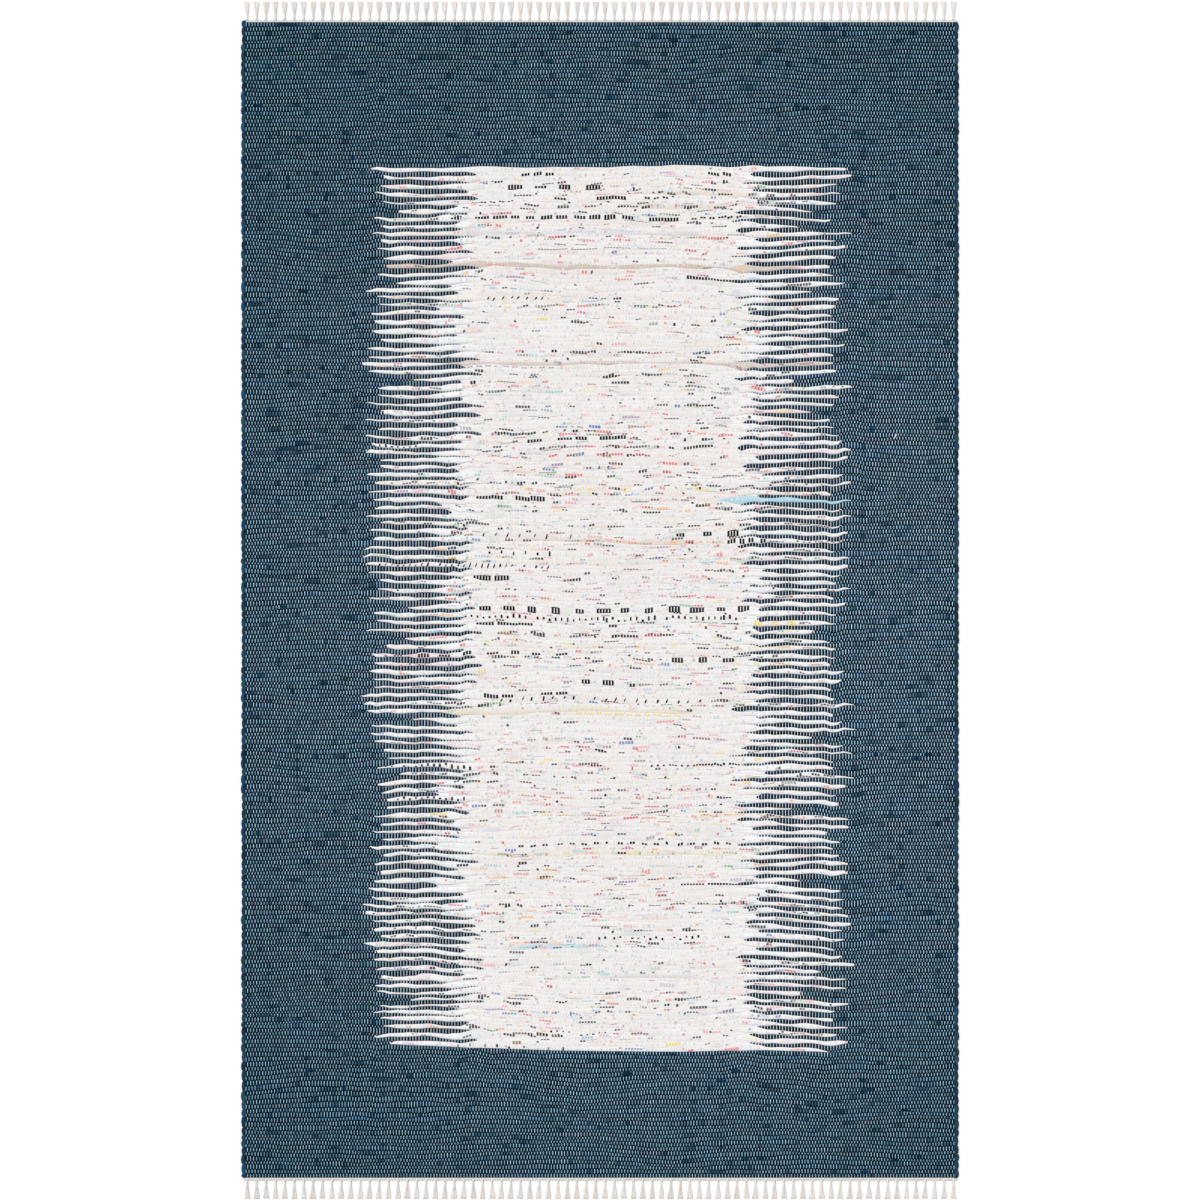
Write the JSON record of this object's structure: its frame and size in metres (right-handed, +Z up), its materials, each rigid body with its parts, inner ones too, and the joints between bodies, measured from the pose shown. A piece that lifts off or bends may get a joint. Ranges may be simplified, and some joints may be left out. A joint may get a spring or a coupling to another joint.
{
  "type": "handwoven rag rug with fringed ends",
  "caption": "Flat rectangular rag rug in plain weave, a dark border round a comb-edged pale field, with knotted tassel fringes on its two short ends.",
  "frame": {"origin": "on the floor, under the centre of the whole rug", "axes": "+X across the rug along its wefts, +Y along its warps from the near fringe to the far one, +Z up out of the face"},
  "size_m": [1.524, 2.543, 0.006],
  "materials": {
    "rag_weave": "matt weft-faced rag weave, navy border and white rag field with printed specks",
    "cotton_warp": "matt undyed cotton yarn, knotted and cut"
  },
  "bodies": {
    "root": {"woven_body": "rag_weave", "fringe_far": "cotton_warp", "fringe_near": "cotton_warp"}
  },
  "joints": []
}
